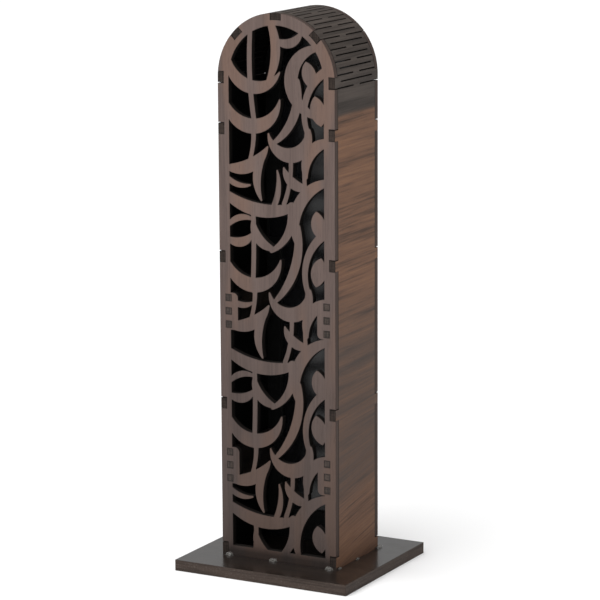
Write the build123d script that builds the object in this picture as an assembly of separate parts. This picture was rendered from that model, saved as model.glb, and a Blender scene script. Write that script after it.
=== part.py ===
from build123d import *
import math
import os

os.makedirs("parts", exist_ok=True)

# A tall free-standing case cut from thin board: a pierced front, a back with a
# door, and one strip that runs up one side, over the round top and down the
# other. Millimetres, +Z up, front facing -Y, origin at the middle of the
# underside of the base.

# Board and overall sizes
sheet = 3.0
body_width = 60.0
body_depth = 42.0
body_height = 254.5
base_width = 89.6
base_depth = 79.6
base_thickness = 5.2

# Panel edges, tabs and notches; heights are measured from the top of the base
rail_width = 5.6
sill_height = 5.0
tab_length = 5.0
tab_clearance = 0.1
tab_gap = 0.4
seat_clearance = 0.1
side_tab_heights = [3.4, 72.8, 141.7, 200.9]
arch_tab_angles = [0, 45, 90, 135, 180]

# Slits that let the strip bend over the arch
slit_rows = 17
slit_width = 0.55
centre_bridge = 6.0
edge_bridge = 2.75

# Corner ribs and their fingers
rib_levels = {"lower": 43.5, "upper": 116.5}
rib_height = 17.8
finger_height = 3.15
finger_pitch = 6.25
finger_clearance = 0.1
ear_width = 3.8
ear_margin = 0.9
ear_radius = 2.4

# Ornament in the window: the tile is drawn on a grid and stretched to fit
tile_count = 3
grid_half = 25.0
grid_height = 73.0

# Door in the back panel
opening_half = 20.0
door_sill = 14.0
door_gap = 0.4
lining_thickness = 1.0
lining_inset = 1.5
hinge_levels = {"lower": 88.0, "upper": 176.0}

# Butt hinges
hinge_height = 12.0
leaf_thickness = 0.6
leaf_reach = 6.6
knuckle_radius = 1.3
knuckle_gap = 0.15
knuckle_lift = 0.1
pin_radius = 0.5
pin_running_clearance = 0.05
pin_head_radius = 0.9
pin_head_height = 0.4

# Screws that hold the hinge leaves
screw_radius = 0.6
screw_grip = 2.4
screw_head_radius = 1.2
screw_head_height = 0.6
screw_hole_clearance = 0.1
screw_offset = 4.2
screw_spread = 3.5

# Knob, stop block and magnets
knob_height = 126.0
knob_inset = 6.0
knob_radius = 3.5
knob_length = 7.5
knob_flange = 0.8
knob_screw_radius = 1.0
knob_screw_depth = 3.5
knob_screw_head_radius = 2.2
catch_height = 152.0
stop_height = 12.0
stop_lap = 6.4
stop_clearance = 0.3
magnet_radius = 2.0
magnet_thickness = 1.6

# Beads of clear glue in the corner between the body and the base
front_glue_radius = 1.7
side_glue_radius = 0.9
glue_length = 1.8

# Worked-out places
half_width = body_width / 2
half_depth = body_depth / 2
inner_half_depth = half_depth - sheet
spring = body_height - half_width
window_half = half_width - rail_width
rib_x = half_width - 1.5 * sheet
door_half = opening_half - door_gap
hinge_x = opening_half - door_gap / 2
hinge_y = half_depth + knuckle_lift + knuckle_radius
knob_x = knob_inset - door_half


def box_between(low, high):
    size = [b - a for a, b in zip(low, high)]
    middle = [(a + b) / 2 for a, b in zip(low, high)]
    return Pos(*middle) * Box(*size)


def disc(radius, length):
    # A cylinder that stands on the origin.
    return Cylinder(radius, length, align=(Align.CENTER, Align.CENTER, Align.MIN))


def rod(radius, start, length):
    # A cylinder along +Y from a start point.
    return Pos(*start) * Rot(-90, 0, 0) * disc(radius, length)


def upright(face, front, thickness):
    # Stands a drawing up as a plate whose front face is at y = front.
    return Pos(0, front + thickness, base_thickness) * extrude(Plane.XZ * face, thickness)


def arch_face(half, bottom):
    straight = Pos(0, (bottom + spring) / 2) * Rectangle(2 * half, spring - bottom)
    return straight + Pos(0, spring) * Circle(half)


def tab_bands(length, slide=0.0):
    # Bands across the rim where the tabs lie. slide moves the straight sides' bands
    # up and those of the arch down, the more so the nearer they are to its springing.
    bands = Sketch()
    for height in side_tab_heights:
        for side in (-1, 1):
            bands += Pos(side * half_width, height + slide) * Rectangle(4 * sheet, length)
    for angle in arch_tab_angles:
        seat = Pos(half_width, slide * (angle / 90 - 1))
        bands += Pos(0, spring) * Rot(0, 0, angle) * seat * Rectangle(4 * sheet, length)
    return bands


def rim_face(depth):
    return arch_face(half_width, 0) - arch_face(half_width - depth, -sheet)


def panel_face():
    # The side tabs sit low in their notches and the arch tabs high, so a gap shows.
    bands = tab_bands(tab_length + tab_clearance + tab_gap, (tab_gap - tab_clearance) / 2)
    notches = rim_face(sheet + seat_clearance) & bands
    return arch_face(half_width, 0) - notches


def finger_heights(level):
    return [level + step * finger_pitch for step in (-1, 0, 1)]


def finger_slots():
    slots = Sketch()
    width = sheet + 2 * finger_clearance
    for level in rib_levels.values():
        for height in finger_heights(level):
            for side in (-1, 1):
                slots += Pos(side * rib_x, height) * Rectangle(width, finger_height + 2 * finger_clearance)
    return slots


# ---- ornament ----

def blade(place, start, end, bulge, start_width, middle_width, end_width):
    # A curved stroke between two points of the grid: two arcs for its edges and
    # two for its tips. place moves each point from the grid to the panel.
    first, last = Vector(*start), Vector(*end)
    chord = last - first
    along = chord.normalized()
    lean = math.degrees(2 * math.atan2(2 * bulge, chord.length))
    leave, arrive = along.rotate(Axis.Z, lean), along.rotate(Axis.Z, -lean)
    out_first, out_last = leave.rotate(Axis.Z, 90), arrive.rotate(Axis.Z, 90)
    out_middle = along.rotate(Axis.Z, 90)
    middle = (first + last) / 2 + out_middle * bulge

    def side(sign):
        return [place(first + out_first * (sign * start_width / 2)),
                place(middle + out_middle * (sign * middle_width / 2)),
                place(last + out_last * (sign * end_width / 2))]

    upper, lower = side(1), side(-1)
    tip_first = place(first - leave * (0.45 * start_width))
    tip_last = place(last + arrive * (0.45 * end_width))
    edges = [ThreePointArc(*upper),
             ThreePointArc(upper[2], tip_last, lower[2]),
             ThreePointArc(*reversed(lower)),
             ThreePointArc(lower[0], tip_first, upper[0])]
    return make_face(edges)


def leaf(place, middle, width, length, tilt):
    # Two arcs that meet in points at the top and the bottom.
    reach = [Vector(width / 2, 0), Vector(0, length / 2), Vector(-width / 2, 0), Vector(0, -length / 2)]
    right, top, left, bottom = [place(Vector(*middle) + arm.rotate(Axis.Z, tilt)) for arm in reach]
    return make_face([ThreePointArc(bottom, right, top), ThreePointArc(top, left, bottom)])


def tile_strokes(index):
    # One tile: a column of bowls and leaves at the left, falls and tails in the
    # middle, swashes and leaves at the right. Each stroke starts or ends on
    # the frame or on another stroke.
    across = window_half / grid_half
    up = (spring - sill_height) / (tile_count * grid_height)

    def place(point):
        return (point.X * across, sill_height + (index * grid_height + point.Y) * up)

    lowest, topmost = index == 0, index == tile_count - 1
    strokes = [
        blade(place, (-26, 60), (2, 64), -10.5, 3.6, 6.8, 0.9),
        blade(place, (-12, 52), (-16, 31), 1.5, 2.8, 2.2, 2.2),
        blade(place, (-26, 32), (-4.5, 42.5), -4.0, 2.6, 6.2, 0.9),
        blade(place, (-5.5, 40), (-8, 18), -3.5, 1.8, 4.4, 1.0),
        blade(place, (-26, 19), (9, 16), -4.2, 4.4, 6.4, 3.4),
        blade(place, (-12.5, 14), (-13, -2 if lowest else -24), 0.5, 2.6, 2.5, 2.6),
        blade(place, (-12.5, 8), (-1.5, -4), -3.2, 2.0, 5.0, 2.0),
        blade(place, (11, 73 if topmost else 80), (-2, 44), 5.0, 3.2, 4.6, 1.8),
        blade(place, (-4, 48.5), (17, 51), -10.5, 0.9, 6.8, 2.6),
        blade(place, (7.5, 40), (4, 17), 1.5, 2.4, 2.2, 2.4),
        blade(place, (8, 16), (-3, -5), 4.0, 4.8, 4.0, 2.0),
        blade(place, (16.5, 51), (15.5, 20), -1.2, 2.6, 2.2, 2.4),
        blade(place, (26, 78), (16.5, 50), -5.5, 4.4, 3.4, 2.8),
        blade(place, (26, 46), (15.5, 30), -4.0, 4.0, 5.6, 2.2),
        blade(place, (4, 33.5), (16, 25), -2.8, 0.9, 5.0, 2.4),
        blade(place, (26, 28), (11, -1), -7.5, 3.4, 6.0, 2.4),
        leaf(place, (22, 60), 8.0, 14.0, -12 if index % 2 else 14),
        leaf(place, (22, 8.5), 7.6, 13.0, 10),
    ]
    if not lowest:
        strokes.append(blade(place, (-26, -1), (-13, 2), -2.6, 2.4, 4.4, 1.6))
    return strokes + tile_accents(index, place)


def tile_accents(index, place):
    # Small strokes that differ from one tile to the next.
    sprig = blade(place, (-26, 45), (-13.5, 43), -2.2, 2.0, 3.0, 1.4)
    thorn = blade(place, (-26, 27), (-14, 24.5), -1.5, 2.6, 2.6, 0.9)
    fin = blade(place, (-26, 5), (-13, 9), 2.2, 1.6, 3.0, 1.4)
    flame = blade(place, (-1.5, 15.5), (0.5, 32), -1.6, 2.8, 2.8, 0.9)
    choices = [[thorn, flame], [sprig, fin], [thorn, fin, flame]]
    return choices[index % len(choices)]


def crown_strokes():
    # The strokes that fill the round top, drawn from the middle of the arch.
    scale = window_half / grid_half

    def place(point):
        return (point.X * scale, spring + point.Y * scale)

    return [
        blade(place, (-25, 7.5), (2, 3.5), -9.5, 3.4, 6.4, 0.9),
        blade(place, (-13, 26), (-11.5, -20), -1.5, 2.4, 2.6, 2.6),
        blade(place, (21, 15.5), (20, -15.5), -12.5, 3.0, 7.0, 3.0),
        blade(place, (-3, 27), (-4, -1), 3.5, 3.2, 5.0, 2.2),
        blade(place, (0, 18.5), (13, 21.5), -3.0, 1.8, 4.4, 2.2),
        leaf(place, (17.5, 3), 7.4, 13.0, 16),
    ]


def ears():
    # The frame widens inwards beside each set of finger slots.
    shapes = Sketch()
    height = 2 * finger_pitch + finger_height + 2 * ear_margin
    for level in rib_levels.values():
        for side in (-1, 1):
            middle = side * (window_half - ear_width + ear_radius)
            shapes += Pos(middle, level) * RectangleRounded(2 * ear_radius, height, 0.99 * ear_radius)
            near = side * (window_half - (ear_width - ear_radius) / 2)
            shapes += Pos(near, level) * Rectangle(ear_width - ear_radius, height)
    return shapes


def window_filling():
    filling = ears()
    for index in range(tile_count):
        filling += tile_strokes(index)
    filling += crown_strokes()
    return filling


# ---- case ----

def make_base_plate():
    return Pos(0, 0, base_thickness / 2) * Box(base_width, base_depth, base_thickness)


def make_front_panel():
    window = arch_face(window_half, sill_height)
    openings = window - window_filling()
    return upright(panel_face() - openings - finger_slots(), -half_depth, sheet)


def make_back_panel():
    opening = arch_face(opening_half, door_sill)
    panel = upright(panel_face() - opening - finger_slots(), inner_half_depth, sheet)
    for level in hinge_levels.values():
        for height in screw_heights(level):
            panel -= screw_hole(1, height, screw_radius)
    return panel


def slit(row):
    # Slits on odd rows run in from both edges; on even rows one lies between.
    quarter = math.pi * half_width / 2
    pitch = (quarter + tab_length / 2 + tab_clearance) / slit_rows
    distance = row * pitch
    if row % 2:
        spans = [(centre_bridge / 2, inner_half_depth + slit_width)]
        spans.append((-spans[0][1], -spans[0][0]))
    else:
        spans = [(edge_bridge - inner_half_depth, inner_half_depth - edge_bridge)]
    middle = half_width - sheet / 2
    cuts = []
    for low, high in spans:
        y = (low + high) / 2
        if abs(distance) <= quarter:
            angle = math.degrees(distance / half_width)
            cutter = Box(slit_width, high - low, 2 * sheet)
            cuts.append(Pos(0, y, spring) * Rot(0, angle, 0) * Pos(0, 0, middle) * cutter)
        else:
            side = math.copysign(1, distance)
            cutter = Box(2 * sheet, high - low, slit_width)
            cuts.append(Pos(side * middle, y, spring + quarter - abs(distance)) * cutter)
    return cuts


def make_bent_side_strip():
    rim = rim_face(sheet)
    strip = upright(rim, -inner_half_depth, 2 * inner_half_depth)
    strip += upright(rim & tab_bands(tab_length), -half_depth, body_depth)
    cuts = [cut for row in range(-slit_rows, slit_rows + 1) for cut in slit(row)]
    return strip - [Pos(0, 0, base_thickness) * cut for cut in cuts]


def make_rib(side, level):
    middle = (side * rib_x, 0, base_thickness + level)
    rib = Box(sheet, 2 * inner_half_depth, rib_height)
    for height in finger_heights(0):
        rib += Pos(0, 0, height) * Box(sheet, body_depth, finger_height)
    return Pos(*middle) * rib


def make_glue_bead(x, y, turn, radius):
    # A rounded bead lying in the corner; turn swings it round to the wall it touches.
    bead = Rot(0, 90, 0) * Cylinder(radius, glue_length)
    for end in (-1, 1):
        bead += Pos(end * glue_length / 2, 0, 0) * Sphere(radius)
    reach = glue_length + radius
    bead &= box_between((-reach, -reach, 0), (reach, 0, reach))
    return Pos(x, y, base_thickness) * Rot(0, 0, turn) * bead


# ---- door ----

def make_back_door():
    door = upright(arch_face(door_half, door_sill + door_gap), inner_half_depth, sheet)
    for level in hinge_levels.values():
        for height in screw_heights(level):
            door -= screw_hole(-1, height, screw_radius)
    door -= rod(knob_screw_radius, (knob_x, inner_half_depth, base_thickness + knob_height), sheet)
    return door - make_magnet(inner_half_depth)


def make_door_lining():
    face = arch_face(door_half - lining_inset, door_sill + door_gap + lining_inset)
    rear = inner_half_depth
    lining = upright(face, rear - lining_thickness, lining_thickness)
    margin = stop_clearance + lining_inset
    level = base_thickness + catch_height
    lining -= box_between((-half_width, 0, level - stop_height / 2 - margin),
                          (stop_lap - door_half + margin, rear, level + stop_height / 2 + margin))
    return lining


def make_stop_block():
    # Glued behind the edge of the back panel, rebated where the door closes on it.
    level = base_thickness + catch_height
    low, high = level - stop_height / 2, level + stop_height / 2
    front = inner_half_depth - sheet
    block = box_between((2 * sheet - half_width, front, low),
                        (stop_lap - door_half, inner_half_depth, high))
    block -= box_between((-opening_half, inner_half_depth - stop_clearance, low),
                         (0, inner_half_depth, high))
    return block - make_magnet(inner_half_depth - stop_clearance - magnet_thickness)


def make_magnet(front):
    x = stop_lap / 2 - door_half
    return rod(magnet_radius, (x, front, base_thickness + catch_height), magnet_thickness)


def make_knob():
    head = Pos(0, 0, knob_length - knob_radius) * Sphere(knob_radius)
    head &= box_between((-knob_radius, -knob_radius, 0.3 * knob_length),
                        (knob_radius, knob_radius, knob_length - 0.1 * knob_radius))
    turned = disc(0.8 * knob_radius, knob_flange) + disc(0.45 * knob_radius, knob_length / 2) + head
    seat = (knob_x, half_depth, base_thickness + knob_height)
    return Pos(*seat) * Rot(-90, 0, 0) * turned - rod(knob_screw_radius, seat, knob_screw_depth)


def make_knob_screw():
    level = base_thickness + knob_height
    shank = rod(knob_screw_radius, (knob_x, inner_half_depth, level), sheet + knob_screw_depth)
    head_front = inner_half_depth - lining_thickness
    return shank + rod(knob_screw_head_radius, (knob_x, head_front, level), lining_thickness)


# ---- hinges ----

def screw_heights(level):
    return [level - screw_spread, level + screw_spread]


def screw_hole(side, height, radius):
    start = (hinge_x + side * screw_offset, half_depth - screw_grip, base_thickness + height)
    return rod(radius, start, screw_grip + leaf_thickness)


def make_screw(side, height):
    seat = (hinge_x + side * screw_offset, half_depth + leaf_thickness, base_thickness + height)
    head = rod(screw_head_radius, seat, screw_head_height)
    return screw_hole(side, height, screw_radius) + head


def make_leaf(side, level):
    # side 1 is the leaf on the back panel, with the outer knuckles; side -1 is
    # the leaf on the door, with the middle one.
    third = hinge_height / 3
    bore = pin_radius if side == 1 else pin_radius + pin_running_clearance
    if side == 1:
        spans = [(-hinge_height / 2, -third / 2 - knuckle_gap), (third / 2 + knuckle_gap, hinge_height / 2)]
    else:
        spans = [(-third / 2, third / 2)]
    near = knuckle_radius + knuckle_gap
    leaf = box_between((min(side * near, side * leaf_reach), 0, -hinge_height / 2),
                       (max(side * near, side * leaf_reach), leaf_thickness, hinge_height / 2))
    axle = knuckle_lift + knuckle_radius
    for low, high in spans:
        length = high - low
        leaf += box_between((min(0, side * near), 0, low), (max(0, side * near), leaf_thickness, high))
        leaf += Pos(0, axle, (low + high) / 2) * Cylinder(knuckle_radius, length)
        leaf -= Pos(0, axle, (low + high) / 2) * Cylinder(bore, length)
    leaf = Pos(hinge_x, half_depth, base_thickness + level) * leaf
    for height in screw_heights(level):
        leaf -= screw_hole(side, height, screw_radius + screw_hole_clearance)
    return leaf


def make_pin(level):
    pin = Cylinder(pin_radius, hinge_height)
    head_level = (hinge_height + pin_head_height) / 2
    for end in (-1, 1):
        pin += Pos(0, 0, end * head_level) * Cylinder(pin_head_radius, pin_head_height)
    return Pos(hinge_x, hinge_y, base_thickness + level) * pin


# ---- assembly ----

parts = {
    "base_plate": make_base_plate(),
    "front_panel": make_front_panel(),
    "back_panel": make_back_panel(),
    "bent_side_strip": make_bent_side_strip(),
    "back_door": make_back_door(),
    "door_lining": make_door_lining() - make_knob_screw(),
    "stop_block": make_stop_block(),
    "frame_magnet": make_magnet(inner_half_depth - stop_clearance - magnet_thickness),
    "door_magnet": make_magnet(inner_half_depth),
    "door_knob": make_knob(),
    "knob_screw": make_knob_screw(),
}
for name, level in rib_levels.items():
    parts[f"rib_left_{name}"] = make_rib(-1, level)
    parts[f"rib_right_{name}"] = make_rib(1, level)
for name, level in hinge_levels.items():
    parts[f"hinge_{name}_frame_leaf"] = make_leaf(1, level)
    parts[f"hinge_{name}_door_leaf"] = make_leaf(-1, level)
    parts[f"hinge_{name}_pin"] = make_pin(level)
    for place, height in zip(("bottom", "top"), screw_heights(level)):
        parts[f"hinge_{name}_frame_screw_{place}"] = make_screw(1, height)
        parts[f"hinge_{name}_door_screw_{place}"] = make_screw(-1, height)

# The last bead runs past the rear corner.
glue_places = [
    (-0.44 * body_width, -half_depth, 0, front_glue_radius),
    (-0.05 * body_width, -half_depth, 0, front_glue_radius),
    (0.44 * body_width, -half_depth, 0, front_glue_radius),
    (half_width, -0.42 * body_depth, 90, side_glue_radius),
    (half_width, 0, 90, side_glue_radius),
    (half_width, half_depth + front_glue_radius / 2, 90, front_glue_radius),
]
for number, place in enumerate(glue_places, start=1):
    parts[f"glue_bead_{number}"] = make_glue_bead(*place)

for name, shape in parts.items():
    shape.label = name
    export_step(shape, f"parts/{name}.step")
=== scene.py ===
import math

import bmesh
import bpy
from mathutils import Matrix, Vector, noise


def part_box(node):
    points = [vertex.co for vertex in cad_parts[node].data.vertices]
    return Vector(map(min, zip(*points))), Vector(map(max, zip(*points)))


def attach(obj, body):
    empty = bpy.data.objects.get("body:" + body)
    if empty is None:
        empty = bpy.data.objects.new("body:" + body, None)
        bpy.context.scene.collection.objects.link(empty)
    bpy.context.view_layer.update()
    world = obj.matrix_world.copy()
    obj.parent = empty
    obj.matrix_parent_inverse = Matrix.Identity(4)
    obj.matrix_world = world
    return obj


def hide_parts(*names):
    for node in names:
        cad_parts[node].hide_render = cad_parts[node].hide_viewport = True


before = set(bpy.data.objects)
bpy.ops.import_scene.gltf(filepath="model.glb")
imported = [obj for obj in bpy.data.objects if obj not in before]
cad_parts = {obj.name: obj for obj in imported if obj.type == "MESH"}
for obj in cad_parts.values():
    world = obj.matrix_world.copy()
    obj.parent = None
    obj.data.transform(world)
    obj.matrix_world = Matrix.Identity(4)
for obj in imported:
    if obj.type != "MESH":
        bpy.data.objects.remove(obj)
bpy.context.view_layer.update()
print("frame loaded:", len(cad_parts), "nodes")

# places read from the frame
baseLow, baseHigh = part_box("base_plate")
frontLow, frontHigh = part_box("front_panel")
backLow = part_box("back_panel")[0]
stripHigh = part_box("bent_side_strip")[1]
boardThickness = frontHigh.y - frontLow.y
archRadius = stripHigh.x
springZ = stripHigh.z - archRadius
baseTop = baseHigh.z
mm = 0.001

# how squarely a face must look one way before it takes that way's finish
flatFace = (0.5, 0.8)
curvedFace = (0.5, 0.85)


class Wire:
    # one node output, so that sums on it read as plain arithmetic
    def __init__(self, recipe, socket):
        self.recipe = recipe
        self.socket = socket

    def sums(self, operation, *values):
        return self.recipe.node("ShaderNodeMath", {"operation": operation}, dict(enumerate(values)))

    def __add__(self, other):
        return self.sums("ADD", self, other)

    def __radd__(self, other):
        return self.sums("ADD", other, self)

    def __sub__(self, other):
        return self.sums("SUBTRACT", self, other)

    def __rsub__(self, other):
        return self.sums("SUBTRACT", other, self)

    def __mul__(self, other):
        return self.sums("MULTIPLY", self, other)

    def __rmul__(self, other):
        return self.sums("MULTIPLY", other, self)

    def __abs__(self):
        return self.sums("ABSOLUTE", self)

    def atLeast(self, other):
        return self.sums("MAXIMUM", self, other)

    def atMost(self, other):
        return self.sums("MINIMUM", self, other)

    def rise(self, low, high):
        # 0 below low, 1 above high, eased between
        return self.recipe.node("ShaderNodeMapRange", {"interpolation_type": "SMOOTHSTEP"},
                                {"Value": self, "From Min": low, "From Max": high})


class Recipe:
    # one material; every node in it comes from node()
    def __init__(self, name):
        self.material = bpy.data.materials.new(name)
        self.material.use_nodes = True
        self.tree = self.material.node_tree
        self.tree.nodes.clear()
        self.x, self.y, self.z = self.split(self.node("ShaderNodeTexCoord", {}, {}, "Object"))

    def node(self, kind, settings, inputs, output=0):
        made = self.tree.nodes.new(kind)
        for key, value in settings.items():
            if key == "stops":
                self.setStops(made.color_ramp, value)
            else:
                setattr(made, key, value)
        for key, value in inputs.items():
            if isinstance(value, Wire):
                self.tree.links.new(value.socket, made.inputs[key])
            else:
                made.inputs[key].default_value = value
        if made.outputs:
            return Wire(self, made.outputs[output])

    def setStops(self, ramp, stops):
        while len(ramp.elements) < len(stops):
            ramp.elements.new(0.5)
        for element, (position, colour) in zip(ramp.elements, stops):
            element.position = position
            element.color = (*colour, 1)

    def split(self, vector):
        made = self.node("ShaderNodeSeparateXYZ", {}, {0: vector})
        return [Wire(self, socket) for socket in made.socket.node.outputs]

    def join(self, x, y, z):
        return self.node("ShaderNodeCombineXYZ", {}, {0: x, 1: y, 2: z})

    def grain(self, vector, detail, roughness=0.55, twist=0.0):
        return self.node("ShaderNodeTexNoise", {},
                         {"Vector": vector, "Scale": 1.0, "Detail": detail, "Roughness": roughness,
                          "Distortion": twist})

    def cloud(self, scales, detail, roughness=0.55):
        # noise with its own scale per metre on each of the piece's axes
        spread = [axis * scale for axis, scale in zip((self.x, self.y, self.z), scales)]
        return self.grain(self.join(*spread), detail, roughness)

    def mix(self, factor, first, second):
        return self.node("ShaderNodeMix", {"data_type": "RGBA"},
                         {0: factor, 6: self.colour(first), 7: self.colour(second)}, 2)

    def colour(self, value):
        return value if isinstance(value, Wire) else (*value, 1)

    def ramp(self, factor, positions, colours):
        return self.node("ShaderNodeValToRGB", {"stops": list(zip(positions, colours))}, {0: factor})

    def length(self, vector):
        return self.node("ShaderNodeVectorMath", {"operation": "LENGTH"}, {0: vector}, "Value")

    def unit(self, vector):
        return self.node("ShaderNodeVectorMath", {"operation": "NORMALIZE"}, {0: vector})

    def dot(self, first, second):
        return self.node("ShaderNodeVectorMath", {"operation": "DOT_PRODUCT"}, {0: first, 1: second},
                         "Value")

    def normal(self):
        # the face's own direction, in the piece's own axes
        return self.node("ShaderNodeTexCoord", {}, {}, "Normal")

    def rounded(self, radius):
        return self.node("ShaderNodeBevel", {"samples": 4}, {"Radius": radius})

    def nearEdge(self, radius, low, high):
        # rises towards an edge, where the rounded direction leaves the true one
        flat = self.node("ShaderNodeNewGeometry", {}, {}, "Normal")
        return (1 - self.dot(self.rounded(radius), flat)).rise(low, high)

    def bump(self, height, depth, radius):
        return self.node("ShaderNodeBump", {},
                         {"Height": height, "Distance": depth, "Normal": self.rounded(radius)})

    def finish(self, **sockets):
        shader = self.node("ShaderNodeBsdfPrincipled", {},
                           {key.replace("_", " "): value for key, value in sockets.items()})
        self.node("ShaderNodeOutputMaterial", {}, {"Surface": shader})
        return self.material


# marks per metre across the grain, along it and into the board, then their detail and roughness
figure = {
    "wander": ((16, 7, 16), 2.0, 0.55),
    "sway": 7 * mm,             # how far the grain leans as it wanders
    "streak": ((1150, 26, 900), 4.0, 0.62),
    "band": ((130, 7, 90), 3.0, 0.5),
    "pore": ((3600, 170, 2600), 2.0, 0.5),
    "poreShare": (0.60, 0.70),
}


def veneerGrain(recipe, across, along, depth):
    # fine streaks, broad bands and pores, each from 0 to 1
    def marks(key, place):
        (crosswise, lengthwise, deep), detail, roughness = figure[key]
        spread = recipe.join(place * crosswise, depth * deep, along * lengthwise)
        return recipe.grain(spread, detail, roughness)

    bent = across + (marks("wander", across) - 0.5) * figure["sway"]
    streak, band, pore = [marks(key, bent) for key in ("streak", "band", "pore")]
    return streak, band, pore.rise(*figure["poreShare"])


laserCut = {
    "core": (0.036, 0.028, 0.024),
    "ply": (0.085, 0.062, 0.052),
    "burnt": (0.008, 0.006, 0.005),
    "lines": (300, 2400, 900),  # marks per metre into the board and along the cut
    "lineShare": (0.35, 0.65),
    "char": (0.35, 0.15),       # what the lines burn, and what is burnt everywhere
    "plies": (2300, 90, 0),
    "plyShare": (0.42, 0.62),
    "detail": 2.0,
    "smoke": (0.7 * mm, 0.02, 0.30),    # width of the dark rim, where it starts and is full
}


def scorchedEdge(recipe, depth, run):
    # a laser cut: dark, with fine lines through the board and paler plies inside it
    def marks(key):
        deep, along, again = laserCut[key]
        return recipe.grain(recipe.join(depth * deep, run * along, run * again), laserCut["detail"])

    lineChar, evenChar = laserCut["char"]
    core = recipe.mix(marks("plies").rise(*laserCut["plyShare"]), laserCut["core"], laserCut["ply"])
    char = marks("lines").rise(*laserCut["lineShare"]) * lineChar + evenChar
    return recipe.mix(char, core, laserCut["burnt"])


veneer = {
    "colours": ((0.052, 0.036, 0.031), (0.112, 0.079, 0.069), (0.153, 0.109, 0.095)),
    "stops": (0.28, 0.50, 0.74),
    "tone": (0.42, 0.44, 0.08),     # shares of streaks and bands, and what is added
    "warm": (0.168, 0.098, 0.070),
    "warmPatches": (60, 9, 40),     # per metre across, along and into the board
    "warmDetail": 2.0,
    "warmShare": (0.46, 0.62),
    "warmth": 0.55,
    "pores": 0.35,
    "footPaintedShade": 0.50,          # painted shade: how much darker the board is painted at its foot
    "footReach": 0.8,           # where that ends, as a share of the arch's height
    "sillPaintedShade": 0.5,
    "sillReach": 2.4,           # in board thicknesses above the base, where the painted shade along the sill ends
    "darkest": 0.85,
    "smoke": 0.5,
    "cutEdge": (0.050, 0.032, 0.026),
    "fibreShare": (0.4, 0.7),
    "fibres": 0.5,
    "seamBurn": 0.9,
    "burnt": (0.007, 0.005, 0.004),
    "outline": (0.6 * mm, 0.2 * mm),    # inside the outline, where the outer cut starts and is full
    "seam": (0.7 * mm, 0.3 * mm),       # beyond the seam, where the burnt line ends and is full
    "gloss": (0.44, 0.14, 0.25),    # all over, more on streaks, more off the good face
    "relief": (0.30, 0.7),          # height of streaks, depth of pores
    "bump": (0.05 * mm, 0.18 * mm), # depth of the relief, rounding of the edges
    "sheen": 0.20,
    "coat": 0.08,
    "coatGloss": 0.25,
}
insideBlack = (0.004, 0.004, 0.004)


def panelWood(name, faceSide, seamY):
    # faceSide is -1 where the good face looks to -Y and 1 where it looks to +Y;
    # seamY is the plane where the panel meets the bent strip
    recipe = Recipe(name)
    turned = recipe.split(recipe.normal())[1]
    face = (turned * faceSide).rise(*flatFace)
    inner = (turned * -faceSide).rise(*flatFace)
    streak, band, pore = veneerGrain(recipe, recipe.x, recipe.z, recipe.y)
    streaks, bands, added = veneer["tone"]
    wood = recipe.ramp(streak * streaks + band * bands + added, veneer["stops"], veneer["colours"])
    across, along, deep = veneer["warmPatches"]
    patches = recipe.join(recipe.x * across, recipe.z * along, recipe.y * deep)
    glow = recipe.grain(patches, veneer["warmDetail"])
    wood = recipe.mix(glow.rise(*veneer["warmShare"]) * veneer["warmth"], wood, veneer["warm"])
    wood = recipe.mix(pore * veneer["pores"], wood, veneer["colours"][0])
    # painted shade: the board is darkened towards its foot and along the sill just above the base
    foot = 1 - recipe.z.rise(baseTop, veneer["footReach"] * springZ)
    sill = 1 - recipe.z.rise(baseTop, baseTop + veneer["sillReach"] * boardThickness)
    paintedShade = (foot * veneer["footPaintedShade"] + sill * veneer["sillPaintedShade"]).atMost(veneer["darkest"])
    wood = recipe.mix(paintedShade, wood, laserCut["burnt"])
    smoke = recipe.nearEdge(*laserCut["smoke"])
    wood = recipe.mix(smoke * veneer["smoke"], wood, veneer["burnt"])
    # the board's outer cut is brown, with a burnt line where it meets the strip
    above = (recipe.z - springZ).atLeast(0)
    start, full = [archRadius - inset for inset in veneer["outline"]]
    outline = recipe.length(recipe.join(recipe.x, 0.0, above)).rise(start, full)
    seam = abs(recipe.y).rise(*[abs(seamY) + reach for reach in veneer["seam"]])
    fibres = streak.rise(*veneer["fibreShare"]) * veneer["fibres"]
    fibre = recipe.mix(fibres, veneer["cutEdge"], laserCut["ply"])
    fibre = recipe.mix(seam * veneer["seamBurn"], fibre, veneer["burnt"])
    edge = recipe.mix(outline, veneer["burnt"], fibre)
    colour = recipe.mix(face, edge, wood)
    colour = recipe.mix(inner, colour, insideBlack)
    even, onStreaks, offFace = veneer["gloss"]
    gloss = even + streak * onStreaks + (1 - face) * offFace
    raised, sunk = veneer["relief"]
    return recipe.finish(Base_Color=colour, Roughness=gloss, Coat_Weight=face * veneer["coat"],
                         Coat_Roughness=veneer["coatGloss"], Specular_IOR_Level=veneer["sheen"],
                         Normal=recipe.bump(streak * raised - pore * sunk, *veneer["bump"]))


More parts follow.
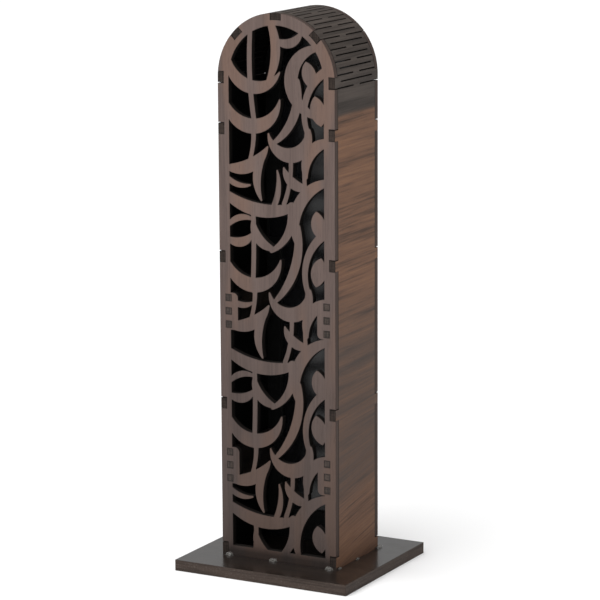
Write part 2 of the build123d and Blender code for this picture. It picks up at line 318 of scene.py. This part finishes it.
sideVeneer = {
    "colours": ((0.040, 0.026, 0.020), (0.150, 0.080, 0.050), (0.232, 0.120, 0.068)),
    "stops": (0.34, 0.48, 0.66),
    "tone": (0.34, 0.50, 0.30, -0.07),  # shares of streaks, flame and bands, and what is added
    "flame": (460, 80, 19),     # per metre up the side, into the board and along the grain
    "flameDetail": (4.0, 0.60, 0.30),   # detail, roughness and twist
    "slant": (0.20, 0.01),      # how the grain climbs towards the back, at the foot and higher up
    "footReach": 0.5,           # where the foot's figure ends, as a share of the arch's height
    "knotShare": (0.48, 0.62),
    "knots": 0.40,
    "grey": (0.034, 0.027, 0.023),
    "greyLight": (0.078, 0.063, 0.054),
    "greyShare": (0.36, 0.66),
    "greyReach": 15.4 * mm,     # how far the dark stretch runs below the round top
    "greyEdge": 1.2 * mm,       # how softly it ends
    "ragged": 7 * mm,
    # a band of painted shade across the lower middle of the side
    "paintedShadeBand": (0.070, 0.054, 0.047),
    "paintedShadeStretch": (0.10, 0.20, 0.42, 0.62),   # where the painted shade band starts, is full, fades and ends, as shares of the side
    "paintedShadeDepth": 1.15,
    "pores": 0.4,
    "smoke": 0.6,
    "edgeSmoke": (0.6, 0.38),   # what the rim darkens on the cuts, and what is dark everywhere
    "gloss": (0.52, 0.16, 0.2),
    "relief": (0.35, 0.8),
    "bump": (0.05 * mm, 0.18 * mm),
    "sheen": 0.10,
    "sideShift": 0.9,           # metres between the two sides' figures
}


def stripWood(name):
    recipe = Recipe(name)
    # how far along the strip a point lies: up the side, then round the arch
    above = (recipe.z - springZ).atLeast(0)
    beside = abs(recipe.x)
    climb = recipe.z.atMost(springZ) + above.sums("ARCTAN2", above, beside) * archRadius
    outward = recipe.unit(recipe.join(recipe.x, 0.0, above))
    facing = recipe.dot(outward, recipe.normal())
    outer = facing.rise(*curvedFace)
    inner = (facing * -1).rise(*curvedFace)
    foot = 1 - recipe.z.rise(baseTop, sideVeneer["footReach"] * springZ)
    steep, gentle = sideVeneer["slant"]
    run = climb - recipe.y * (foot * (steep - gentle) + gentle)
    across = run + recipe.x.sums("SIGN", recipe.x) * sideVeneer["sideShift"]
    streak, band, pore = veneerGrain(recipe, across, recipe.y, beside)
    up, deep, along = sideVeneer["flame"]
    flame = recipe.join(across * up, beside * deep, recipe.y * along)
    flame = recipe.grain(flame, *sideVeneer["flameDetail"])
    streaks, flames, bands, added = sideVeneer["tone"]
    tone = streak * streaks + flame * flames + band * bands + added
    warm = recipe.ramp(tone, sideVeneer["stops"], sideVeneer["colours"])
    dark = recipe.mix(tone.rise(*sideVeneer["greyShare"]), sideVeneer["grey"], sideVeneer["greyLight"])
    ragged = run + (band - 0.5) * sideVeneer["ragged"]
    start = springZ - sideVeneer["greyReach"]
    turning = ragged.rise(start - sideVeneer["greyEdge"], start + sideVeneer["greyEdge"])
    wood = recipe.mix(turning, warm, dark)
    # painted shade: a dimmer, flatter band across the lower middle of the side
    start, full, fade, end = [baseTop + share * (springZ - baseTop)
                              for share in sideVeneer["paintedShadeStretch"]]
    paintedShadeBand = run.rise(start, full) * run.rise(end, fade)
    wood = recipe.mix(paintedShadeBand * (sideVeneer["paintedShadeDepth"] - tone), wood, sideVeneer["paintedShadeBand"])
    knots = foot * flame.rise(*sideVeneer["knotShare"])
    wood = recipe.mix(knots * sideVeneer["knots"], wood, sideVeneer["colours"][0])
    wood = recipe.mix(pore * sideVeneer["pores"], wood, sideVeneer["colours"][0])
    smoke = recipe.nearEdge(*laserCut["smoke"])
    wood = recipe.mix(smoke * sideVeneer["smoke"], wood, laserCut["burnt"])
    rim, everywhere = sideVeneer["edgeSmoke"]
    edge = scorchedEdge(recipe, beside, recipe.z)
    edge = recipe.mix(smoke * rim + everywhere, edge, laserCut["burnt"])
    colour = recipe.mix(outer, edge, wood)
    colour = recipe.mix(inner, colour, insideBlack)
    even, onStreaks, offFace = sideVeneer["gloss"]
    gloss = even + streak * onStreaks + (1 - outer) * offFace
    raised, sunk = sideVeneer["relief"]
    return recipe.finish(Base_Color=colour, Roughness=gloss, Specular_IOR_Level=sideVeneer["sheen"],
                         Normal=recipe.bump(streak * raised - pore * sunk, *sideVeneer["bump"]))


# from here on a noise is its scales per metre on the three axes, its detail and its roughness
basePlate = {
    "colours": ((0.006, 0.004, 0.003), (0.013, 0.009, 0.007), (0.030, 0.021, 0.016)),
    "stops": (0.30, 0.50, 0.74),
    "tone": (0.6, 0.5, 0.05),   # shares of streaks and bands, and what is taken off
    "edge": (0.052, 0.037, 0.030),
    "speck": (0.096, 0.077, 0.066),
    "specks": ((1500, 1500, 1500), 3.0, 0.7),
    "speckShare": (0.52, 0.72),
    "plies": ((40, 40, 1600), 2.0),
    "plyShare": (0.45, 0.65),
    "plyDepth": 0.45,
    "smoke": (0.6 * mm, 0.02, 0.3),
    "smokeDepth": 0.6,
    "wear": ((55, 55, 0), 4.0, 0.6),
    "wearShare": (0.45, 0.75),
    "gloss": (0.60, 0.25, 0.07),    # sawn edges, less on the top, more where it is worn
    "relief": (0.3, 0.8),           # streaks on the top, fibres on the edges
    "bump": (0.03 * mm, 0.18 * mm),
    "coat": 0.95,
    "coatGloss": 0.17,
    "sheen": 0.15,
}


def baseWood(name):
    recipe = Recipe(name)
    top = recipe.split(recipe.normal())[2].rise(*curvedFace)
    streak, band = veneerGrain(recipe, recipe.y, recipe.x, recipe.z)[:2]
    streaks, bands, less = basePlate["tone"]
    wood = recipe.ramp(streak * streaks + band * bands - less, basePlate["stops"], basePlate["colours"])
    fibre = recipe.cloud(*basePlate["specks"])
    ply = recipe.cloud(*basePlate["plies"])
    edge = recipe.mix(fibre.rise(*basePlate["speckShare"]), basePlate["edge"], basePlate["speck"])
    edge = recipe.mix(ply.rise(*basePlate["plyShare"]) * basePlate["plyDepth"], edge, laserCut["burnt"])
    smoke = recipe.nearEdge(*basePlate["smoke"])
    edge = recipe.mix(smoke * basePlate["smokeDepth"], edge, laserCut["burnt"])
    wear = recipe.cloud(*basePlate["wear"])
    sawn, onTop, worn = basePlate["gloss"]
    gloss = sawn - top * onTop + wear.rise(*basePlate["wearShare"]) * worn
    streakRelief, fibreRelief = basePlate["relief"]
    height = streak * streakRelief * top + fibre * (1 - top) * fibreRelief
    return recipe.finish(Base_Color=recipe.mix(top, edge, wood), Roughness=gloss,
                         Coat_Weight=top * basePlate["coat"], Coat_Roughness=basePlate["coatGloss"],
                         Specular_IOR_Level=basePlate["sheen"],
                         Normal=recipe.bump(height, *basePlate["bump"]))


ribEnds = {
    # the ends of the ribs' fingers show in the panels' slots
    "smoke": (0.9 * mm, 0.01, 0.14),
    "smokeDepth": 0.95,
    "fibre": ((1400, 1400, 1400), 3.0, 0.7),
    "gloss": (0.55, 0.25),      # all over, and more on fibres
    "bump": (0.05 * mm, 0.15 * mm),
    "sheen": 0.2,
}


def ribWood(name):
    recipe = Recipe(name)
    smoke = recipe.nearEdge(*ribEnds["smoke"])
    colour = recipe.mix(smoke * ribEnds["smokeDepth"], scorchedEdge(recipe, recipe.x, recipe.z),
                        laserCut["burnt"])
    fibre = recipe.cloud(*ribEnds["fibre"])
    even, onFibres = ribEnds["gloss"]
    return recipe.finish(Base_Color=colour, Roughness=even + fibre * onFibres,
                         Specular_IOR_Level=ribEnds["sheen"],
                         Normal=recipe.bump(fibre, *ribEnds["bump"]))


lacquer = {
    "colour": (0.006, 0.006, 0.007),
    "dustColour": (0.030, 0.029, 0.028),
    "dust": ((420, 420, 420), 4.0, 0.7),
    "dustShare": (0.62, 0.80),
    "dustCover": 0.25,
    "smear": ((35, 35, 18), 3.0, 0.5),
    "smearShare": (0.4, 0.7),
    "gloss": (0.18, 0.05, 0.10),    # clean, more on smears, more on dust
    "roughDust": (0.6, 0.8),
    "bump": (0.02 * mm, 0.10 * mm),
}


def blackGloss(name):
    recipe = Recipe(name)
    dust = recipe.cloud(*lacquer["dust"])
    smear = recipe.cloud(*lacquer["smear"])
    cover = dust.rise(*lacquer["dustShare"]) * lacquer["dustCover"]
    clean, onSmears, onDust = lacquer["gloss"]
    gloss = clean + smear.rise(*lacquer["smearShare"]) * onSmears
    gloss += dust.rise(*lacquer["roughDust"]) * onDust
    return recipe.finish(Base_Color=recipe.mix(cover, lacquer["colour"], lacquer["dustColour"]),
                         Roughness=gloss, Normal=recipe.bump(smear, *lacquer["bump"]))


brassMetal = {
    "colour": (0.54, 0.36, 0.14),
    "tarnish": (0.30, 0.19, 0.075),
    "bright": (0.76, 0.57, 0.28),
    "clouds": ((300, 300, 300), 4.0, 0.6),
    "cloudShare": (0.35, 0.70),
    "tarnished": 0.75,
    "brush": ((2600, 2600, 160), 2.0, 0.5),
    "rim": (0.3 * mm, 0.03, 0.35),
    "worn": 0.6,
    "gloss": (0.24, 0.16, 0.10),    # clean, more on tarnish, more on brush marks
    "bump": (0.01 * mm, 0.12 * mm),
}


def brass(name):
    recipe = Recipe(name)
    cloud = recipe.cloud(*brassMetal["clouds"])
    brush = recipe.cloud(*brassMetal["brush"])
    tarnish = cloud.rise(*brassMetal["cloudShare"]) * brassMetal["tarnished"]
    colour = recipe.mix(tarnish, brassMetal["colour"], brassMetal["tarnish"])
    worn = recipe.nearEdge(*brassMetal["rim"]) * brassMetal["worn"]
    colour = recipe.mix(worn, colour, brassMetal["bright"])
    clean, onTarnish, onMarks = brassMetal["gloss"]
    return recipe.finish(Base_Color=colour, Metallic=1.0,
                         Roughness=clean + cloud * onTarnish + brush * onMarks,
                         Normal=recipe.bump(brush, *brassMetal["bump"]))


nickelMetal = {
    "colours": ((0.62, 0.60, 0.57), (0.48, 0.47, 0.45)),
    "clouds": ((500, 500, 500), 4.0, 0.6),
    "cloudShare": (0.35, 0.7),
    "gloss": (0.18, 0.2),
    "bump": (0.01 * mm, 0.12 * mm),
}


def nickel(name):
    recipe = Recipe(name)
    cloud = recipe.cloud(*nickelMetal["clouds"])
    colour = recipe.mix(cloud.rise(*nickelMetal["cloudShare"]), *nickelMetal["colours"])
    clean, onClouds = nickelMetal["gloss"]
    return recipe.finish(Base_Color=colour, Metallic=1.0, Roughness=clean + cloud * onClouds,
                         Normal=recipe.bump(cloud, *nickelMetal["bump"]))


glue = {
    "colours": ((0.10, 0.09, 0.08), (0.34, 0.33, 0.31)),
    "clouds": ((900, 900, 900), 3.0, 0.6),
    "gloss": (0.10, 0.2),
    "cover": (0.22, 0.34),      # least, and more where it is cloudy
    "bump": (0.05 * mm, 0.10 * mm),
}


def clearGlue(name):
    recipe = Recipe(name)
    cloud = recipe.cloud(*glue["clouds"])
    clean, onClouds = glue["gloss"]
    least, more = glue["cover"]
    return recipe.finish(Base_Color=recipe.mix(cloud, *glue["colours"]),
                         Roughness=clean + cloud * onClouds, Alpha=least + cloud * more,
                         Normal=recipe.bump(cloud, *glue["bump"]))


finishes = {
    "frontVeneer": panelWood("frontVeneer", -1, frontHigh.y),
    "backVeneer": panelWood("backVeneer", 1, backLow.y),
    "stripVeneer": stripWood("stripVeneer"),
    "baseBoard": baseWood("baseBoard"),
    "ribBoard": ribWood("ribBoard"),
    "blackGloss": blackGloss("blackGloss"),
    "brassFinish": brass("brassFinish"),
    "nickelFinish": nickel("nickelFinish"),
    "clearGlue": clearGlue("clearGlue"),
}
nodeFinishes = {
    "front_panel": "frontVeneer",
    "back_panel": "backVeneer",
    "back_door": "backVeneer",
    "bent_side_strip": "stripVeneer",
    "base_plate": "baseBoard",
    "stop_block": "blackGloss",
    "door_lining": "blackGloss",
    "frame_magnet": "nickelFinish",
    "door_magnet": "nickelFinish",
}


def finishFor(nodeName):
    if nodeName in nodeFinishes:
        return finishes[nodeFinishes[nodeName]]
    if nodeName.startswith("rib_"):
        return finishes["ribBoard"]
    if nodeName.startswith("glue_"):
        return finishes["clearGlue"]
    return finishes["brassFinish"]


for nodeName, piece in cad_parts.items():
    piece.data.materials.clear()
    piece.data.materials.append(finishFor(nodeName))
print("finishes on", len(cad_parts), "nodes")


def addPiece(name, mesh, finish, body, stands, smooth=True):
    # hands a finished bmesh over as an object that stands for some CAD nodes
    data = bpy.data.meshes.new(name)
    bmesh.ops.recalc_face_normals(mesh, faces=mesh.faces)
    mesh.to_mesh(data)
    mesh.free()
    data.materials.append(finishes[finish])
    for face in data.polygons:
        face.use_smooth = smooth
    piece = bpy.data.objects.new(name, data)
    bpy.context.scene.collection.objects.link(piece)
    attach(piece, body)
    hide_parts(*stands)
    return piece


def turnProfile(mesh, profile, steps):
    # spins a half outline of (radius, height) about Z into a closed turned shape
    points = [mesh.verts.new((radius, 0, height)) for radius, height in profile]
    edges = [mesh.edges.new(pair) for pair in zip(points, points[1:])]
    bmesh.ops.spin(mesh, geom=points + edges, cent=(0, 0, 0), axis=(0, 0, 1), dvec=(0, 0, 0),
                   angle=2 * math.pi, steps=steps, use_merge=True)
    bmesh.ops.remove_doubles(mesh, verts=mesh.verts, dist=0.001 * mm)


def pointingBack(middle):
    # stands a shape that was made along +Z on the back of the case, pointing to +Y
    return Matrix.Translation(middle) @ Matrix.Rotation(-math.pi / 2, 4, "X")


knobTurned = {
    # radius and height of each point, as shares of the knob's own radius and length
    "outline": [(0.0, 0.0), (0.80, 0.0), (0.80, 0.06), (0.74, 0.10), (0.52, 0.14), (0.40, 0.24),
                (0.42, 0.34), (0.62, 0.40), (0.90, 0.50), (0.995, 0.62), (0.94, 0.76),
                (0.72, 0.90), (0.40, 0.97), (0.0, 1.0)],
    "steps": 48,
    "smoothing": 1,
}


def makeKnob():
    low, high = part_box("door_knob")
    radius, length = (high.x - low.x) / 2, high.y - low.y
    mesh = bmesh.new()
    outline = [(r * radius, h * length) for r, h in knobTurned["outline"]]
    turnProfile(mesh, outline, knobTurned["steps"])
    mesh.transform(pointingBack(((low.x + high.x) / 2, low.y, (low.z + high.z) / 2)))
    piece = addPiece("knob_turned", mesh, "brassFinish", "door", ["door_knob"])
    rounding = piece.modifiers.new("round", "SUBSURF")
    rounding.levels = knobTurned["smoothing"]
    rounding.render_levels = knobTurned["smoothing"]


makeKnob()
print("knob turned")

glueBead = {
    "count": 6,
    "detail": 3,
    "size": 0.86,          # before the lumps, as a share of the bead's radius
    "lumpDepth": 0.16,     # as a share of the bead's radius
    "lumpScale": 1.7,
    "lumpShift": 3.1,      # between one bead's lumps and the next
}


def makeGlueBead(nodeName, number):
    low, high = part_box(nodeName)
    size = high - low
    longWay = 0 if size.x > size.y else 1
    corner = Vector(((low.x + high.x) / 2, (low.y + high.y) / 2, low.z))
    # the bead touches the wall on its long side: the front on -Y, the side on +X
    wallWay = Vector((0, 1, 0)) if longWay == 0 else Vector((-1, 0, 0))
    corner += wallWay * (min(size.x, size.y) / 2)
    mesh = bmesh.new()
    bmesh.ops.create_icosphere(mesh, subdivisions=glueBead["detail"], radius=1)
    reach = [min(size.x, size.y)] * 2 + [size.z]
    reach[longWay] = max(size.x, size.y) / 2
    shift = Vector((number * glueBead["lumpShift"], 0, 0))
    for vert in mesh.verts:
        lump = noise.noise(vert.co * glueBead["lumpScale"] + shift)
        vert.co *= glueBead["size"] + glueBead["lumpDepth"] * lump
        vert.co = Vector(a * b for a, b in zip(vert.co, reach)) + corner
    for normal in (wallWay, Vector((0, 0, -1))):
        everything = mesh.verts[:] + mesh.edges[:] + mesh.faces[:]
        cut = bmesh.ops.bisect_plane(mesh, geom=everything, plane_co=corner, plane_no=normal,
                                     clear_outer=True)
        rim = [edge for edge in cut["geom_cut"] if isinstance(edge, bmesh.types.BMEdge)]
        bmesh.ops.contextual_create(mesh, geom=rim)
    addPiece(f"glue_drop_{number}", mesh, "clearGlue", "case", [nodeName])


for number in range(1, glueBead["count"] + 1):
    makeGlueBead(f"glue_bead_{number}", number)
print("glue beads placed")

hingeScrew = {
    "steps": 32,
    "headHeight": 0.6 * mm,
    # radius and height of each point, as shares of the head's own
    "dome": [(0.0, 0.0), (0.96, 0.0), (1.0, 0.15), (0.96, 0.42), (0.78, 0.72), (0.45, 0.93),
             (0.0, 1.0)],
    "slotWidth": 0.30 * mm,
    "slotDepth": 0.34 * mm,
    "slotLength": 1.5 * mm,
    "slotTurn": 0.3,       # radians
}


def addLoose(name, mesh):
    # an object that is only used to cut with or to be cut
    loose = bpy.data.objects.new(name, bpy.data.meshes.new(name))
    mesh.to_mesh(loose.data)
    mesh.free()
    bpy.context.scene.collection.objects.link(loose)
    return loose


def makeScrew(nodeName, body):
    low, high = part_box(nodeName)
    radius = (high.x - low.x) / 2
    head = hingeScrew["headHeight"]
    stand = pointingBack(((low.x + high.x) / 2, high.y - head, (low.z + high.z) / 2))
    mesh = bmesh.new()
    turnProfile(mesh, [(r * radius, h * head) for r, h in hingeScrew["dome"]], hingeScrew["steps"])
    mesh.transform(stand)
    bmesh.ops.recalc_face_normals(mesh, faces=mesh.faces)
    name = nodeName + "_head"
    blank = addLoose(name, mesh)
    cutters = []
    slotSize = (hingeScrew["slotLength"], hingeScrew["slotWidth"], 2 * hingeScrew["slotDepth"], 1)
    for turn in (hingeScrew["slotTurn"], hingeScrew["slotTurn"] + math.pi / 2):
        cross = bmesh.new()
        bmesh.ops.create_cube(cross, size=1)
        cross.transform(stand @ Matrix.Translation((0, 0, head)) @ Matrix.Rotation(turn, 4, "Z")
                        @ Matrix.Diagonal(slotSize))
        cutters.append(addLoose("cutter", cross))
        cut = blank.modifiers.new("slot", "BOOLEAN")
        cut.operation = "DIFFERENCE"
        cut.solver = "EXACT"
        cut.object = cutters[-1]
    bpy.context.view_layer.update()
    carved = bmesh.new()
    carved.from_object(blank, bpy.context.evaluated_depsgraph_get())
    for spare in cutters + [blank]:
        bpy.data.objects.remove(spare)
    addPiece(name, carved, "brassFinish", body, [nodeName], smooth=False)


for level in ("lower", "upper"):
    for leaf, body in (("frame", "case"), ("door", "door")):
        for place in ("bottom", "top"):
            makeScrew(f"hinge_{level}_{leaf}_screw_{place}", body)
print("hinge screws cut")

studio = {
    "floorHalf": 9.0,
    "floorDrop": 0.02 * mm,    # the floor lies this far under the base
    "floorColours": ((0.93, 0.93, 0.93), (0.95, 0.95, 0.95)),
    "floorClouds": ((3, 3, 0), 2.0),
    "floorRoughness": 0.9,
    "skyStrength": 0.45,
    # kind, name, place, aim and settings
    "lights": [
        ("SUN", "daylight", (-0.5, -1.0, 2.2), (0, 0, 0), {"energy": 2.6, "angle": math.radians(70)}),
        ("AREA", "key", (-0.15, -0.75, 0.62), (0, 0, springZ),
         {"shape": "DISK", "size": 0.35, "energy": 1.2}),
        ("AREA", "fill", (1.0, 1.1, 1.1), (0, 0, springZ / 2),
         {"shape": "DISK", "size": 0.8, "energy": 3.0}),
    ],
}


def makeFloor():
    mesh = bmesh.new()
    bmesh.ops.create_grid(mesh, x_segments=1, y_segments=1, size=studio["floorHalf"])
    data = bpy.data.meshes.new("floor")
    mesh.to_mesh(data)
    mesh.free()
    recipe = Recipe("paleFloor")
    colour = recipe.mix(recipe.cloud(*studio["floorClouds"]), *studio["floorColours"])
    data.materials.append(recipe.finish(Base_Color=colour, Roughness=studio["floorRoughness"]))
    floor = bpy.data.objects.new("floor", data)
    floor.location.z = baseLow.z - studio["floorDrop"]
    bpy.context.scene.collection.objects.link(floor)


def makeSky():
    world = bpy.data.worlds.new("sky")
    world.use_nodes = True
    background = world.node_tree.nodes["Background"]
    background.inputs["Color"].default_value = (1, 1, 1, 1)
    background.inputs["Strength"].default_value = studio["skyStrength"]
    bpy.context.scene.world = world


def addLight(kind, name, place, aim, settings):
    light = bpy.data.lights.new(name, kind)
    for key, value in settings.items():
        setattr(light, key, value)
    lamp = bpy.data.objects.new(name, light)
    lamp.location = place
    lamp.rotation_euler = (Vector(aim) - Vector(place)).to_track_quat("-Z", "Y").to_euler()
    bpy.context.scene.collection.objects.link(lamp)


camera = {
    "place": (0.63596, -1.16641, 0.38952),
    "turn": 28.400,        # degrees to the right of the front
    "tilt": 11.670,        # degrees looking down
    "roll": -0.268,
    "lens": 176.0,
    "sensor": 36.0,
    "shift": (-0.01565, 0.03621),
    "clip": (0.01, 50.0),
}


def makeCamera():
    data = bpy.data.cameras.new("camera")
    data.lens = camera["lens"]
    data.sensor_width = camera["sensor"]
    data.shift_x, data.shift_y = camera["shift"]
    data.clip_start, data.clip_end = camera["clip"]
    data.dof.use_dof = False
    turn, tilt, roll = [math.radians(camera[key]) for key in ("turn", "tilt", "roll")]
    eye = bpy.data.objects.new("camera", data)
    facing = (Matrix.Rotation(turn, 4, "Z") @ Matrix.Rotation(math.pi / 2 - tilt, 4, "X")
              @ Matrix.Rotation(roll, 4, "Z"))
    eye.matrix_world = Matrix.Translation(camera["place"]) @ facing
    bpy.context.scene.collection.objects.link(eye)
    bpy.context.scene.camera = eye


makeFloor()
makeSky()
for light in studio["lights"]:
    addLight(*light)
makeCamera()
bpy.context.scene.view_settings.view_transform = "Standard"
print("studio ready")

bpy.context.view_layer.update()
